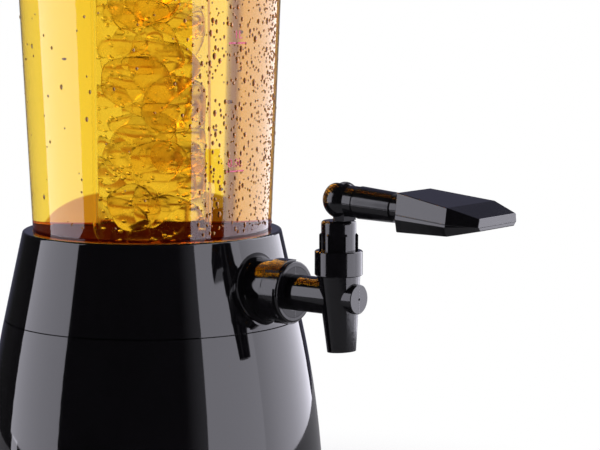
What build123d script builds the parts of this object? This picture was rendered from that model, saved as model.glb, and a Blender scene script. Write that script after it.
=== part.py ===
from build123d import *
import math
import os

# A three litre table-top drink tower, in millimetres. The tower axis is Z, the table is z = 0
# and the tap points along -Y. The lever is drawn in its open, nearly level position.

# Base
base_height = 190.0          # table to the flat rim that the tube rises from
foot_lift = 2.5              # gap between the table and the lower edge of the skirt
rim_land = 5.0               # flat rim outside the tube
collar_height = 42.8         # rim down to the seam between collar and skirt
collar_flare = 9.5           # growth in radius from rim to seam
skirt_flare = 11.6           # growth in radius from the seam to the upright foot
skirt_straight = 41.5        # height of the upright foot band above the table
shell_wall = 3.0
seam_gap = 0.5
spigot_height = 4.0          # collar lip inside the top of the skirt
spigot_clearance = 0.2
rim_round = 1.2
skirt_edge_round = 1.0
deck_drop = 6.0              # seam down to the top of the deck inside the skirt
deck_hole_radius = 26.0
core_gap = 1.2               # narrowest hollow between the collar wall and the tube socket

# Screws of the base
screw_radius = 1.4
screw_pilot_clearance = 0.1
screw_head_radius = 3.2
screw_head_height = 2.2
screw_head_round = 0.7
screw_slot_width = 0.8
screw_slot_reach = 1.7
screw_bite = 9.0             # length of a screw inside its pillar
pilot_spare = 1.0            # pilot hole beyond the end of its screw
pillar_radius = 4.5
pillar_count = 4
first_pillar = 45.0          # degrees from X
pillar_inset = 0.5           # collar pillars inside the flat of the bowl floor
pillar_wall_gap = 10.1       # cover pillars from the inside of the skirt
cover_pillar_height = 24.0
pillar_rib_width = 3.0

# Base cover and feet
cover_recess = 1.5           # cover face above the lower edge of the skirt
cover_thickness = 3.0
cover_clearance = 0.3
cover_rib_height = 5.0
cover_rib_width = 2.5
cover_rib_circle = 44.0
foot_radius = 10.0
foot_edge_gap = 12.8         # foot to the edge of the cover
foot_count = 4
foot_sink = 1.0              # depth of a foot in the cover
foot_clearance = 0.2
foot_round = 0.8

# Bowl inside the collar
bowl_corner = 9.0
bowl_floor_round = 4.5
bowl_floor_below_bore = 1.0  # floor below the lowest point of the tap bore
ledge_width = 5.5            # shelf that carries the tube seal
seal_height = 2.5
seal_side_clearance = 0.2

# Clear tube
tube_radius = 58.0           # outside, at the rim
tube_draft = 0.0431          # growth in radius per millimetre of height
tube_wall = 2.8
tube_height = 325.0          # above the rim
tube_sink = 14.0             # below the rim
tube_socket_clearance = 0.15
tube_lip_round = 1.0

# Lid
lid_seal_height = 1.2
lid_plate = 3.0
lid_wall = 2.4
lid_skirt_drop = 12.0        # lid skirt below the lip of the tube
lid_plug_drop = 8.0
lid_clearance = 0.4
lid_edge_round = 2.5
turret_height = 6.0
turret_wall = 6.0
turret_round = 1.5

# Ice tube and its cap
ice_tube_radius = 21.5
ice_tube_wall = 1.5
ice_tube_foot_gap = 14.0     # closed end above the bowl floor
ice_tube_clearance = 0.6
ice_flange_lip = 4.6
ice_flange_height = 3.0
ice_neck_height = 12.0
ice_cap_wall = 4.0
ice_cap_top = 3.0
ice_cap_clearance = 0.4
ice_cap_flutes = 24
ice_cap_flute_radius = 1.3
ice_cap_flute_depth = 0.8
ice_cap_round = 1.5

# Tap, measured outward from the tower axis along -Y
tap_drop = 23.4              # tap axis below the rim
boss_radius = 14.05
boss_length = 9.8            # collar wall to the shoulder where the coupling nut begins
boss_bore_radius = 6.0
boss_root_round = 3.0
boss_spigot_length = 3.8
nut_length = 10.0
nut_radius = 14.25
nut_wall = 1.5
nut_lip = 0.85               # inward step that holds the tap flange
nut_lip_thickness = 2.2
nut_clearance = 0.15
nut_edge = 1.0               # rounding of the front edge
nut_back_edge = 0.5
lug_count = 4
lug_height = 0.9
lug_span = 56.0              # degrees of the nut that one lug covers
lug_turn = 16.0              # degrees from the tap's upright to the first lug
lug_front_gap = 1.8
washer_thickness = 1.8
shank_radius = 8.35
shank_bore_radius = 4.6
shank_length = 24.8          # nut face to the upright valve axis
stub_radius = 6.75
stub_length = 11.5           # valve axis to the end of the stub
stub_edge = 0.3
gate_mark_radius = 0.6       # moulding mark in the middle of the stub's face
gate_mark_depth = 0.4

# Valve body and spout
body_top_radius = 9.8
body_top_rise = 10.2         # shoulder under the bonnet, above the tap axis
body_collar_rise = 7.4       # collar inside the bonnet, above the shoulder
spout_drop = 24.6            # tip below the tap axis
spout_tip_radius = 6.6
spout_tip_shift = 1.8        # tip centre moved outward
spout_tip_tilt = 4.0         # degrees, outer side of the tip higher
spout_wall = 1.6
spout_cut_spare = 1.0        # outlet cut beyond the tip
chamber_radius = 5.9
seat_drop = 9.6              # valve seat below the tap axis
seat_radius = 3.9

# Bonnet
bonnet_radius = 10.9
bonnet_ring_height = 11.3
bonnet_wall = 2.4
bonnet_clearance = 0.1
bonnet_seal_height = 0.8
bonnet_edge = 0.4
neck_radius = 7.95
neck_height = 13.7
neck_round = 1.5
rib_count = 6
rib_height = 8.0
rib_depth = 0.9
rib_width = 0.8
rib_first = 30.0             # degrees from the tap's outward direction
spring_room_radius = 5.6
gland_radius = 4.25
gland_height = 2.2
gland_roof = 3.6             # solid top of the neck above the O-ring
gland_washer_height = 1.2
o_ring_section = 0.75

# Valve stem
stem_radius = 2.6
stem_clearance = 0.08
stem_lift = 3.0              # travel from shut to open
stem_tip_radius = 1.8
spring_collar_radius = 4.8
spring_collar_height = 1.8
spring_collar_drop = 0.9     # spring seat below the shoulder of the body
eye_radius = 3.4
eye_thickness = 6.0
eye_clearance = 0.2          # flat of the eye above the neck when shut
cup_radius = 4.9
cup_height = 4.0
cup_bevel = 1.0              # height of the cup's sloping edges
cup_neck_radius = 3.3
cup_neck_height = 2.0
cup_clearance = 0.1
seat_clearance = 0.15

# Return spring
spring_wire_radius = 0.45
spring_mean_radius = 4.2
spring_turns = 6

# Lever, measured along its own axis from the pin
pin_radius = 1.5
pin_clearance = 0.05
pin_seat_clearance = 0.02
pin_blind_wall = 1.2
lever_axis_drop = 0.66       # lever axis below the pin
lever_droop = 3.2            # degrees below level when open
head_radius = 8.6
head_shift = 1.7
head_clearance = 0.2         # head above the neck when shut
head_stem_radius = 7.05
slot_clearance = 0.2
slot_end_gap = 1.1           # end of the fork slot beyond the eye
heel_clearance = 0.15
heel_start = 1.0
heel_end = 6.2
heel_half_width = 4.6
groove_at = 11.0
groove_width = 1.5
groove_depth = 0.8
stem_start_radius = 7.4
stem_end_radius = 6.8
stem_end = 31.3
waist_radius = 6.1
paddle_start = 40.1
paddle_ridge = 70.0
paddle_tip = 83.7
paddle_start_width = 26.0
paddle_ridge_width = 38.6
paddle_tip_width = 29.6
paddle_start_thickness = 17.5
paddle_ridge_thickness = 12.4
paddle_tip_thickness = 5.3
paddle_side_bulge = 0.8      # sides stand out along their ridge
paddle_side_drop = 0.34      # ridge of the sides below the middle, as a share of half the thickness
paddle_under_inset = 1.0     # underside narrower than the top, each side
paddle_edge_round = 0.5

# Places that follow from the sizes above
rim_radius = tube_radius + rim_land
seam_radius = rim_radius + collar_flare
skirt_radius = seam_radius + skirt_flare
collar_slope = collar_flare / collar_height
seam_z = base_height - collar_height
deck_top = seam_z - deck_drop
tap_z = base_height - tap_drop
bowl_floor = tap_z - boss_bore_radius - bowl_floor_below_bore
tube_bottom = base_height - tube_sink
tube_top = base_height + tube_height
tube_foot_radius = tube_radius - tube_draft * tube_sink
socket_radius = tube_foot_radius + tube_socket_clearance
bowl_radius = socket_radius - ledge_width
ledge_z = tube_bottom - seal_height
collar_pillar_circle = bowl_radius - bowl_corner - pillar_radius - pillar_inset
cover_pillar_circle = skirt_radius - shell_wall - pillar_wall_gap
cover_radius = skirt_radius - shell_wall - cover_clearance
foot_circle = cover_radius - foot_edge_gap - foot_radius
cover_bottom = foot_lift + cover_recess
cover_top = cover_bottom + cover_thickness
cover_screw_seat = cover_bottom + screw_head_height
lid_under = tube_top + lid_seal_height
lid_top = lid_under + lid_plate
turret_top = lid_top + turret_height
ice_hole_radius = ice_tube_radius + ice_tube_clearance
ice_flange_top = turret_top + ice_flange_height
ice_neck_top = ice_flange_top + ice_neck_height
boss_reach = rim_radius + collar_slope * tap_drop + boss_length
nut_front = boss_reach + nut_length
boss_spigot_end = boss_reach + boss_spigot_length
flange_back = boss_spigot_end + washer_thickness
thread_radius = nut_radius - nut_wall - nut_clearance
flange_front_radius = thread_radius - nut_lip
valve_reach = nut_front + shank_length
stub_reach = valve_reach + stub_length
body_top = tap_z + body_top_rise
body_collar_top = body_top + body_collar_rise
body_collar_radius = bonnet_radius - bonnet_wall - bonnet_clearance
spout_tip = tap_z - spout_drop
seat_z = tap_z - seat_drop
neck_base = body_top + bonnet_ring_height
neck_top = neck_base + neck_height
gland_top = neck_top - gland_roof
spring_top = gland_top - gland_height - gland_washer_height
cup_bottom = seat_z + seat_clearance + stem_lift
cup_top = cup_bottom + cup_height + cup_neck_height
pin_z = neck_top + head_radius - head_shift + stem_lift + head_clearance
spring_bottom = body_top - spring_collar_drop
eye_bottom = neck_top + stem_lift + eye_clearance
slot_half = 0.5 * eye_thickness + slot_clearance
slot_end = eye_radius + slot_end_gap

# Frames: the tap runs outward along its local z, the valve stands on its own upright axis
tap_frame = Location(Plane((0, 0, tap_z), x_dir=(1, 0, 0), z_dir=(0, -1, 0)))
valve_frame = Location((0, -valve_reach, 0))
lever_frame = Location(
    Plane((0, -valve_reach, pin_z - lever_axis_drop), x_dir=(1, 0, 0), z_dir=(0, -1, 0))
)
pin_axis = Axis((0, -valve_reach, pin_z), (1, 0, 0))


def turned(*corners):
    """Solid of revolution about Z from (radius, height) corners."""
    outline = Polyline(*[(r, 0, z) for r, z in corners], close=True)
    return revolve(make_face(outline), Axis.Z)


def ring(outer, inner, bottom, top):
    """Plain ring about Z."""
    return turned((inner, bottom), (outer, bottom), (outer, top), (inner, top))


def rod(radius, bottom, top):
    """Plain round bar about Z."""
    return turned((0, bottom), (radius, bottom), (radius, top), (0, top))


def block(x, y, z):
    """Box from three (low, high) pairs."""
    corner = Pos(0.5 * sum(x), 0.5 * sum(y), 0.5 * sum(z))
    return corner * Box(x[1] - x[0], y[1] - y[0], z[1] - z[0])


def around(count, first=0.0):
    """Evenly spaced turns about Z, in degrees."""
    return [first + 360.0 * i / count for i in range(count)]


def edge_circles(solid, height, radius):
    """The round edge of a turned solid at one height and radius."""
    found = solid.edges().filter_by(GeomType.CIRCLE)
    return [e for e in found if abs(e.center().Z - height) < 1e-3 and abs(e.radius - radius) < 1e-3]


def collar_radius(z):
    """Outer radius of the collar cone at height z."""
    return rim_radius + collar_slope * (base_height - z)


def tube_outer(z):
    """Outer radius of the clear tube at height z."""
    return tube_radius + tube_draft * (z - base_height)


def skirt_outline(inset, bottom, top):
    """Side of the skirt: an upright band, then an arc tangent to it that leans in to the seam."""
    foot = skirt_radius - inset
    band = Line((foot, 0, bottom), (foot, 0, skirt_straight))
    sweep_in = TangentArc(
        (foot, 0, skirt_straight), (seam_radius - inset, 0, top), tangent=(0, 0, 1)
    )
    return band + sweep_in


def base_skirt():
    """Lower shell with an inner deck under the collar and pillars for the cover screws."""
    outer = skirt_outline(0, foot_lift, seam_z)
    inner = skirt_outline(shell_wall, foot_lift, seam_z)
    lower = Line((skirt_radius, 0, foot_lift), (skirt_radius - shell_wall, 0, foot_lift))
    upper = Line((seam_radius, 0, seam_z), (seam_radius - shell_wall, 0, seam_z))
    shell = revolve(make_face(outer + inner + lower + upper), Axis.Z)
    shell = fillet(edge_circles(shell, foot_lift, skirt_radius), skirt_edge_round)
    middle = skirt_outline(0.5 * shell_wall, foot_lift, seam_z)
    axis = Polyline(middle @ 1, (0, 0, seam_z), (0, 0, foot_lift), middle @ 0)
    inside = revolve(make_face(middle + axis), Axis.Z)
    shell += inside & ring(skirt_radius, deck_hole_radius, deck_top - shell_wall, deck_top)
    top = cover_top + cover_pillar_height
    for turn in around(pillar_count, first_pillar):
        pillar = Pos(cover_pillar_circle, 0, 0) * rod(pillar_radius, cover_top, top)
        web = block(
            (cover_pillar_circle, skirt_radius - 0.5 * shell_wall),
            (-0.5 * pillar_rib_width, 0.5 * pillar_rib_width),
            (cover_top, top),
        )
        shell += Rot(0, 0, turn) * (pillar + web)
    for turn in around(pillar_count, first_pillar):
        pilot = rod(screw_radius + screw_pilot_clearance, cover_top, cover_top + screw_bite + pilot_spare)
        shell -= Rot(0, 0, turn) * Pos(cover_pillar_circle, 0, 0) * pilot
        passage = rod(screw_radius + screw_pilot_clearance, deck_top - shell_wall, deck_top)
        shell -= Rot(0, 0, turn) * Pos(collar_pillar_circle, 0, 0) * passage
    return shell


def base_cover():
    """Disc that closes the base, ribbed on top, with sinks for the feet and the screw heads."""
    plate = rod(cover_radius, cover_bottom, cover_top)
    half = 0.5 * cover_rib_width
    plate += ring(
        cover_rib_circle + half, cover_rib_circle - half, cover_top, cover_top + cover_rib_height
    )
    for turn in around(2 * pillar_count):
        reach = cover_pillar_circle - pillar_radius - cover_rib_width
        rib = block((0, reach), (-half, half), (cover_top, cover_top + cover_rib_height))
        plate += Rot(0, 0, turn) * rib
    for turn in around(foot_count):
        sink = rod(foot_radius + foot_clearance, cover_bottom, cover_bottom + foot_sink)
        plate -= Rot(0, 0, turn) * Pos(foot_circle, 0, 0) * sink
    for turn in around(pillar_count, first_pillar):
        hole = rod(screw_radius + screw_pilot_clearance, cover_bottom, cover_top)
        hole += rod(screw_head_radius + screw_pilot_clearance, cover_bottom, cover_screw_seat)
        plate -= Rot(0, 0, turn) * Pos(cover_pillar_circle, 0, 0) * hole
    return plate


def screw_set(circle, head_seat, pillar_foot):
    """Group of like pan-head screws on one circle, each pointing up into a pillar."""
    head_bottom = head_seat - screw_head_height
    head = rod(screw_head_radius, head_bottom, head_seat)
    head = fillet(edge_circles(head, head_bottom, screw_head_radius), screw_head_round)
    one = head + rod(screw_radius, head_seat, pillar_foot + screw_bite)
    half = 0.5 * screw_slot_width
    cross = block((-screw_slot_reach, screw_slot_reach), (-half, half), (0, screw_slot_width))
    cross += Rot(0, 0, 90) * cross
    one -= Pos(0, 0, head_bottom) * cross
    return [Rot(0, 0, turn) * Pos(circle, 0, 0) * one for turn in around(pillar_count, first_pillar)]


def rubber_foot(turn):
    """One foot, set in its sink in the cover."""
    foot = rod(foot_radius, 0, cover_bottom + foot_sink)
    foot = fillet(edge_circles(foot, 0, foot_radius), foot_round)
    return Rot(0, 0, turn) * Pos(foot_circle, 0, 0) * foot


def reservoir_collar():
    """Upper base: cone, rim with the tube socket, bowl, tap boss and screw pillars."""
    wall = shell_wall
    spigot = seam_radius - wall - spigot_clearance
    socket_outer = socket_radius + wall
    core_top = base_height - (socket_outer + core_gap + wall - rim_radius) / collar_slope
    core_top = min(core_top, base_height - wall)
    lap = seam_z + seam_gap
    shell = turned(
        (0, bowl_floor - wall),
        (bowl_radius - bowl_corner, bowl_floor - wall),
        (bowl_radius + wall, bowl_floor - wall + bowl_corner),
        (bowl_radius + wall, ledge_z - wall),
        (socket_outer, ledge_z - wall),
        (socket_outer, core_top),
        (collar_radius(core_top) - wall, core_top),
        (collar_radius(lap + wall) - wall, lap + wall),
        (spigot - wall, lap),
        (spigot - wall, seam_z - spigot_height),
        (spigot, seam_z - spigot_height),
        (spigot, lap),
        (collar_radius(lap), lap),
        (rim_radius, base_height),
        (0, base_height),
    )
    shell = fillet(edge_circles(shell, base_height, rim_radius), rim_round)
    boss = tap_frame * rod(boss_radius, bowl_radius - wall, boss_reach)
    shell += boss
    # The root of the boss is the outermost of the closed curves where it meets the cone.
    roots = shell.edges().filter_by(GeomType.BSPLINE)
    roots = [e for e in roots if e.length > 2 * math.pi * (boss_radius - wall)]
    shell = fillet(min(roots, key=lambda e: e.bounding_box().center().Y), boss_root_round)
    shell += tap_frame * rod(thread_radius, boss_reach, boss_spigot_end)
    for turn in around(pillar_count, first_pillar):
        post = rod(pillar_radius, deck_top, bowl_floor - 0.5 * wall)
        shell += Rot(0, 0, turn) * Pos(collar_pillar_circle, 0, 0) * post
    socket_mouth = tube_radius + tube_socket_clearance
    room = turned(
        (0, bowl_floor),
        (bowl_radius - bowl_corner, bowl_floor),
        (bowl_radius, bowl_floor + bowl_corner),
        (bowl_radius, ledge_z),
        (socket_radius, ledge_z),
        (socket_radius, tube_bottom),
        (socket_mouth, base_height),
        (0, base_height),
    )
    room = fillet(edge_circles(room, bowl_floor, bowl_radius - bowl_corner), bowl_floor_round)
    shell -= room
    shell -= tap_frame * rod(boss_bore_radius, bowl_radius - bowl_corner, boss_spigot_end)
    for turn in around(pillar_count, first_pillar):
        pilot = rod(screw_radius + screw_pilot_clearance, deck_top, deck_top + screw_bite + pilot_spare)
        shell -= Rot(0, 0, turn) * Pos(collar_pillar_circle, 0, 0) * pilot
    return shell


def tube_seal():
    """Flat ring under the foot of the tube."""
    outer = tube_foot_radius - seal_side_clearance
    return ring(outer, bowl_radius + seal_side_clearance, ledge_z, tube_bottom)


def tube():
    """Clear tapered tube with a rounded lip."""
    low, high = tube_foot_radius, tube_outer(tube_top)
    wall = turned(
        (low - tube_wall, tube_bottom), (low, tube_bottom), (high, tube_top), (high - tube_wall, tube_top)
    )
    lip = edge_circles(wall, tube_top, high) + edge_circles(wall, tube_top, high - tube_wall)
    return fillet(lip, tube_lip_round)


def lid_seal():
    """Flat ring between the lip of the tube and the lid."""
    high = tube_outer(tube_top)
    return ring(high, high - tube_wall, tube_top, lid_under)


def lid():
    """Lid with a skirt outside the tube, a plug ring inside it and a turret for the ice tube."""
    inside = tube_outer(tube_top) + lid_clearance
    outside = inside + lid_wall
    plug = tube_outer(tube_top - lid_plug_drop) - tube_wall - lid_clearance
    turret = ice_hole_radius + turret_wall
    shape = turned(
        (ice_hole_radius, lid_under),
        (plug - lid_wall, lid_under),
        (plug - lid_wall, tube_top - lid_plug_drop),
        (plug, tube_top - lid_plug_drop),
        (plug, lid_under),
        (inside, lid_under),
        (inside, tube_top - lid_skirt_drop),
        (outside, tube_top - lid_skirt_drop),
        (outside, lid_top),
        (turret, lid_top),
        (turret, turret_top),
        (ice_hole_radius, turret_top),
    )
    shape = fillet(edge_circles(shape, lid_top, outside), lid_edge_round)
    shape = fillet(edge_circles(shape, lid_top, turret), turret_round)
    return fillet(edge_circles(shape, turret_top, turret), turret_round)


def ice_tube():
    """Clear tube with a domed closed end, hung by its flange on the turret of the lid."""
    inner = ice_tube_radius - ice_tube_wall
    dome = bowl_floor + ice_tube_foot_gap + ice_tube_radius
    flange = ice_tube_radius + ice_flange_lip
    side = Polyline(
        (ice_tube_radius, 0, dome),
        (ice_tube_radius, 0, turret_top),
        (flange, 0, turret_top),
        (flange, 0, ice_flange_top),
        (ice_tube_radius, 0, ice_flange_top),
        (ice_tube_radius, 0, ice_neck_top),
        (inner, 0, ice_neck_top),
        (inner, 0, dome),
    )
    inner_dome = TangentArc((inner, 0, dome), (0, 0, dome - inner), tangent=(0, 0, -1))
    outer_dome = TangentArc(
        (ice_tube_radius, 0, dome), (0, 0, dome - ice_tube_radius), tangent=(0, 0, -1)
    )
    floor = Line((0, 0, dome - inner), (0, 0, dome - ice_tube_radius))
    return revolve(make_face(side + inner_dome + floor + outer_dome), Axis.Z)


def ice_tube_cap():
    """Fluted cap over the neck of the ice tube."""
    inner = ice_tube_radius + ice_cap_clearance
    outer = inner + ice_cap_wall
    roof = ice_neck_top + ice_cap_clearance
    top = roof + ice_cap_top
    cap = turned(
        (0, roof), (inner, roof), (inner, ice_flange_top), (outer, ice_flange_top), (outer, top), (0, top)
    )
    cap = fillet(edge_circles(cap, top, outer), ice_cap_round)
    for turn in around(ice_cap_flutes):
        flute = rod(ice_cap_flute_radius, ice_flange_top, top)
        middle = outer + ice_cap_flute_radius - ice_cap_flute_depth
        cap -= Rot(0, 0, turn) * Pos(middle, 0, 0) * flute
    return cap


def tap_washer():
    """Flat ring between the boss and the tap flange."""
    return tap_frame * ring(thread_radius, boss_bore_radius, boss_spigot_end, flange_back)


def coupling_nut():
    """Union nut with grip lugs; its front lip draws the tap flange onto the boss."""
    bore = nut_radius - nut_wall
    lip_back = nut_front - nut_lip_thickness
    mouth = flange_front_radius + nut_clearance
    nut = turned(
        (bore, boss_reach),
        (nut_radius, boss_reach),
        (nut_radius, nut_front),
        (mouth, nut_front),
        (mouth, lip_back),
        (bore, lip_back),
    )
    nut = fillet(edge_circles(nut, nut_front, nut_radius), nut_edge)
    nut = chamfer(edge_circles(nut, boss_reach, nut_radius), nut_back_edge)
    far = 2 * nut_radius
    half = math.radians(0.5 * lug_span)
    wedge = Polygon(
        (0, 0),
        (far * math.cos(half), -far * math.sin(half)),
        (far * math.cos(half), far * math.sin(half)),
        align=None,
    )
    sector = Pos(0, 0, boss_reach) * extrude(wedge, nut_length - lug_front_gap)
    lug = sector & ring(
        nut_radius + lug_height, nut_radius - 0.5 * nut_wall, boss_reach, nut_front - lug_front_gap
    )
    for turn in around(lug_count, 90 + lug_turn):
        nut += Rot(0, 0, turn) * lug
    return tap_frame * nut


def tap_body():
    """Flange, shank, valve body, leaning spout and end stub in one moulding."""
    flange_step = nut_front - nut_lip_thickness - nut_clearance
    flange = turned(
        (0, flange_back),
        (thread_radius, flange_back),
        (thread_radius, flange_step),
        (flange_front_radius, flange_step),
        (flange_front_radius, nut_front),
        (shank_radius, nut_front),
        (shank_radius, valve_reach),
        (0, valve_reach),
    )
    stub = rod(stub_radius, valve_reach, stub_reach)
    stub = chamfer(edge_circles(stub, stub_reach, stub_radius), stub_edge)
    stub -= rod(gate_mark_radius, stub_reach - gate_mark_depth, stub_reach)
    tilt = math.radians(spout_tip_tilt)
    tip_plane = Plane(
        (0, -spout_tip_shift, spout_tip), x_dir=(1, 0, 0), z_dir=(0, math.sin(tilt), math.cos(tilt))
    )
    top_plane = Plane((0, 0, body_top))
    seat_plane = Plane((0, 0, seat_z))
    spout = loft([tip_plane * Circle(spout_tip_radius), top_plane * Circle(body_top_radius)])
    below = tip_plane.offset(-spout_cut_spare)
    outlet = loft([below * Circle(spout_tip_radius - spout_wall), seat_plane * Circle(seat_radius)])
    chamber = rod(chamber_radius, seat_z, body_collar_top)
    body = tap_frame * (flange + stub)
    body += valve_frame * (spout + rod(body_collar_radius, body_top, body_collar_top))
    body -= valve_frame * (chamber + outlet)
    return body - tap_frame * rod(shank_bore_radius, flange_back, valve_reach)


def bonnet():
    """Screwed cap of the valve: ring, neck with ribs, room for the spring and the stem gland."""
    bore = body_collar_radius + bonnet_clearance
    roof = body_collar_top + bonnet_seal_height
    shape = turned(
        (bore, body_top),
        (bonnet_radius - bonnet_edge, body_top),
        (bonnet_radius, body_top + bonnet_edge),
        (bonnet_radius, neck_base - bonnet_edge),
        (bonnet_radius - bonnet_edge, neck_base),
        (neck_radius, neck_base),
        (neck_radius, neck_top),
        (stem_radius + stem_clearance, neck_top),
        (stem_radius + stem_clearance, gland_top),
        (gland_radius, gland_top),
        (gland_radius, gland_top - gland_height),
        (spring_room_radius, gland_top - gland_height),
        (spring_room_radius, roof),
        (bore, roof),
    )
    shape = fillet(edge_circles(shape, neck_top, neck_radius), neck_round)
    half = 0.5 * rib_width
    for turn in around(rib_count, rib_first - 90):
        side = Polyline(
            (neck_radius - rib_depth, 0, neck_base - bonnet_edge),
            (neck_radius + rib_depth, 0, neck_base - bonnet_edge),
            (neck_radius + rib_depth, 0, neck_base + rib_height - rib_depth),
            (neck_radius, 0, neck_base + rib_height),
            (neck_radius - rib_depth, 0, neck_base + rib_height),
            close=True,
        )
        rib = extrude(make_face(side), half, dir=(0, 1, 0), both=True)
        shape += Rot(0, 0, turn) * rib
    return valve_frame * shape


def bonnet_seal():
    """Flat ring between the valve body and the bonnet."""
    return valve_frame * ring(
        body_collar_radius, spring_room_radius, body_collar_top, body_collar_top + bonnet_seal_height
    )


def gland_washer():
    """Ring that the spring holds up against the O-ring."""
    return valve_frame * ring(
        spring_room_radius - stem_clearance, stem_radius + stem_clearance, spring_top,
        spring_top + gland_washer_height,
    )


def stem_o_ring():
    """O-ring in the gland at the top of the neck."""
    mean = stem_radius + stem_clearance + o_ring_section
    middle = gland_top - 0.5 * gland_height
    return valve_frame * Pos(0, 0, middle) * Torus(mean, o_ring_section)


def valve_stem():
    """Turned stem with a spring collar and, on top, a flat eye for the lever pin."""
    tip = cup_bottom + 0.5 * cup_height
    step = cup_top + cup_clearance
    stem = turned(
        (0, tip),
        (stem_tip_radius, tip),
        (stem_tip_radius, step),
        (stem_radius, step),
        (stem_radius, spring_bottom - spring_collar_height),
        (spring_collar_radius, spring_bottom - spring_collar_height),
        (spring_collar_radius, spring_bottom),
        (stem_radius, spring_bottom),
        (stem_radius, eye_bottom),
        (0, eye_bottom),
    )
    half = 0.5 * eye_thickness
    stem += block((-half, half), (-eye_radius, eye_radius), (eye_bottom, pin_z))
    across = Location((0, 0, pin_z), (0, 90, 0))
    stem += across * rod(eye_radius, -half, half)
    stem -= across * rod(pin_radius + pin_clearance, -half, half)
    return valve_frame * stem


def seat_cup():
    """Soft cup pushed on the tip of the stem, lifted off the seat while the tap is open."""
    socket = stem_tip_radius + cup_clearance
    middle = cup_bottom + 0.5 * cup_height
    cup = turned(
        (0, cup_bottom),
        (seat_radius, cup_bottom),
        (cup_radius, cup_bottom + cup_bevel),
        (cup_radius, cup_bottom + cup_height - cup_bevel),
        (cup_neck_radius, cup_bottom + cup_height),
        (cup_neck_radius, cup_top),
        (socket, cup_top),
        (socket, middle),
        (0, middle),
    )
    return valve_frame * cup


def return_spring():
    """Coil spring from the collar of the stem up to the gland washer."""
    low = spring_bottom + spring_wire_radius
    rise = spring_top - spring_wire_radius - low
    coil = Helix(rise / spring_turns, rise, spring_mean_radius)
    section = Plane(coil @ 0, z_dir=coil % 0) * Circle(spring_wire_radius)
    return valve_frame * Pos(0, 0, low) * sweep(section, path=coil)


def paddle_section(at, width, thickness):
    """Six-sided section of the paddle, widest at a ridge below the middle."""
    half, up, out = 0.5 * width, 0.5 * thickness, 0.5 * width + paddle_side_bulge
    under, ridge = half - paddle_under_inset, -paddle_side_drop * up
    corners = [(-half, up), (half, up), (out, ridge), (under, -up), (-under, -up), (-out, ridge)]
    return Pos(0, 0, at) * Polygon(*corners, align=None)


def lever():
    """Forked ball head on the pin, round stem and faceted paddle, with a heel on the neck."""
    stem = turned(
        (0, head_shift),
        (head_stem_radius, head_shift),
        (head_stem_radius, groove_at),
        (stem_start_radius - groove_depth, groove_at),
        (stem_start_radius - groove_depth, groove_at + groove_width),
        (stem_start_radius, groove_at + groove_width),
        (stem_end_radius, stem_end),
        (waist_radius, stem_end),
        (waist_radius, paddle_start),
        (0, paddle_start),
    )
    start = paddle_section(paddle_start, paddle_start_width, paddle_start_thickness)
    ridge = paddle_section(paddle_ridge, paddle_ridge_width, paddle_ridge_thickness)
    tip = paddle_section(paddle_tip, paddle_tip_width, paddle_tip_thickness)
    paddle = loft([start, ridge], ruled=True) + loft([ridge, tip], ruled=True)
    paddle = fillet(paddle.edges(), paddle_edge_round)
    handle = stem + Pos(0, 0, head_shift) * Sphere(head_radius) + paddle
    handle = (lever_frame * handle).rotate(pin_axis, lever_droop)
    heel = block(
        (-heel_half_width, heel_half_width),
        (-valve_reach - heel_end, -valve_reach - heel_start),
        (neck_top + heel_clearance, pin_z - lever_axis_drop),
    )
    handle += heel
    slot = block(
        (-slot_half, slot_half),
        (-valve_reach - slot_end, -valve_reach + 2 * head_radius),
        (neck_top - head_radius, pin_z + 2 * head_radius),
    )
    handle -= slot.rotate(pin_axis, lever_droop)
    near_end = pin_blind_wall - head_radius + lever_axis_drop
    hole = rod(pin_radius + pin_seat_clearance, near_end, 2 * head_radius)
    return handle - valve_frame * Location((0, 0, pin_z), (0, 90, 0)) * hole


def lever_pin():
    """Pin through the fork and the eye, blind on one side."""
    near_end = pin_blind_wall - head_radius + lever_axis_drop
    far_end = head_radius - pin_blind_wall
    return valve_frame * Location((0, 0, pin_z), (0, 90, 0)) * rod(pin_radius, near_end, far_end)


def pieces():
    """Every node of the tower by name."""
    made = {
        "base_skirt": base_skirt(),
        "base_cover": base_cover(),
        "cover_screws": screw_set(cover_pillar_circle, cover_screw_seat, cover_top),
        "reservoir_collar": reservoir_collar(),
        "collar_screws": screw_set(collar_pillar_circle, deck_top - shell_wall, deck_top),
        "tube_seal": tube_seal(),
        "tube": tube(),
        "lid": lid(),
        "lid_seal": lid_seal(),
        "ice_tube": ice_tube(),
        "ice_tube_cap": ice_tube_cap(),
        "tap_washer": tap_washer(),
        "coupling_nut": coupling_nut(),
        "tap_body": tap_body(),
        "bonnet": bonnet(),
        "bonnet_seal": bonnet_seal(),
        "gland_washer": gland_washer(),
        "stem_o_ring": stem_o_ring(),
        "valve_stem": valve_stem(),
        "seat_cup": seat_cup(),
        "return_spring": return_spring(),
        "lever": lever(),
        "lever_pin": lever_pin(),
    }
    for number, turn in enumerate(around(foot_count), start=1):
        made[f"rubber_foot_{number}"] = rubber_foot(turn)
    return made


os.makedirs("parts", exist_ok=True)
for name, shape in pieces().items():
    solids = shape if isinstance(shape, list) else [shape]
    export_step(Compound(children=solids) if len(solids) > 1 else solids[0], f"parts/{name}.step")
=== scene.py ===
import math
from types import SimpleNamespace

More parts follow.
